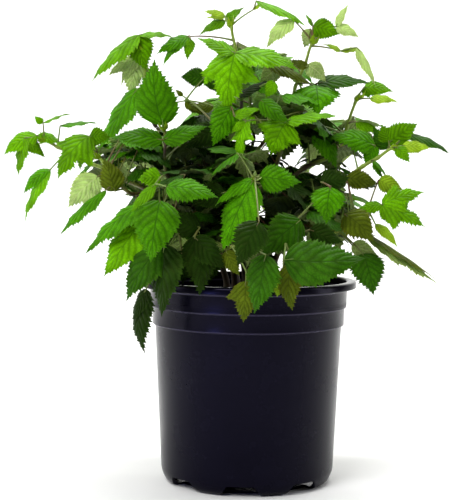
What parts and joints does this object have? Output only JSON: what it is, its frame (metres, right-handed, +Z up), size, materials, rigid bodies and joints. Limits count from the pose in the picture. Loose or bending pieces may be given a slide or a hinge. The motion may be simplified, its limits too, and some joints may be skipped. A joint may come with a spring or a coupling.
{
  "type": "potted thornless bramble",
  "caption": "Leafy thornless bramble with arching canes and drooping serrated leaflets, growing in a round black nursery pot with a rolled lip and a notched foot.",
  "frame": {"origin": "centre of the pot's flat underside, on the floor plane", "axes": "+Z up, front of the plant faces -Y, +X to the right as seen from the front"},
  "size_m": [0.3604, 0.3025, 0.3928],
  "materials": {
    "pot_plastic": "satin black with a faint violet cast",
    "potting_soil": "dark crumbly potting mix",
    "cane_bark": "smooth brown and green cane bark",
    "leaves": "soft satin leaf"
  },
  "bodies": {
    "root": {"pot": "pot_plastic", "potting_soil": "potting_soil", "cane_left": "cane_bark", "cane_top_left": "cane_bark", "cane_centre": "cane_bark", "cane_top_right": "cane_bark", "cane_right": "cane_bark", "cane_front": "cane_bark", "cane_back_left": "cane_bark", "cane_back_right": "cane_bark", "lateral_left_front": "cane_bark", "lateral_left_low": "cane_bark", "lateral_left_upper": "cane_bark", "lateral_middle": "cane_bark", "lateral_right_upper": "cane_bark", "lateral_right_low": "cane_bark", "lateral_front_right": "cane_bark", "lateral_front_low": "cane_bark", "lateral_back_top": "cane_bark", "lateral_back_upper": "cane_bark", "lateral_back_left_low": "cane_bark", "lateral_back_right_low": "cane_bark", "lateral_back_middle": "cane_bark", "foliage_far_left": "leaves", "foliage_left_front": "leaves", "foliage_left_low": "leaves", "foliage_left_upper": "leaves", "foliage_top_left": "leaves", "foliage_top_centre": "leaves", "foliage_top_right": "leaves", "foliage_right_upper": "leaves", "foliage_right_outer": "leaves", "foliage_right_low": "leaves", "foliage_front_right": "leaves", "foliage_front_centre": "leaves", "foliage_front_low": "leaves", "foliage_middle": "leaves", "foliage_back_top": "leaves", "foliage_back_upper": "leaves", "foliage_back_left": "leaves", "foliage_back_right": "leaves", "foliage_back_left_low": "leaves", "foliage_back_right_low": "leaves", "foliage_back_middle": "leaves"}
  },
  "joints": []
}
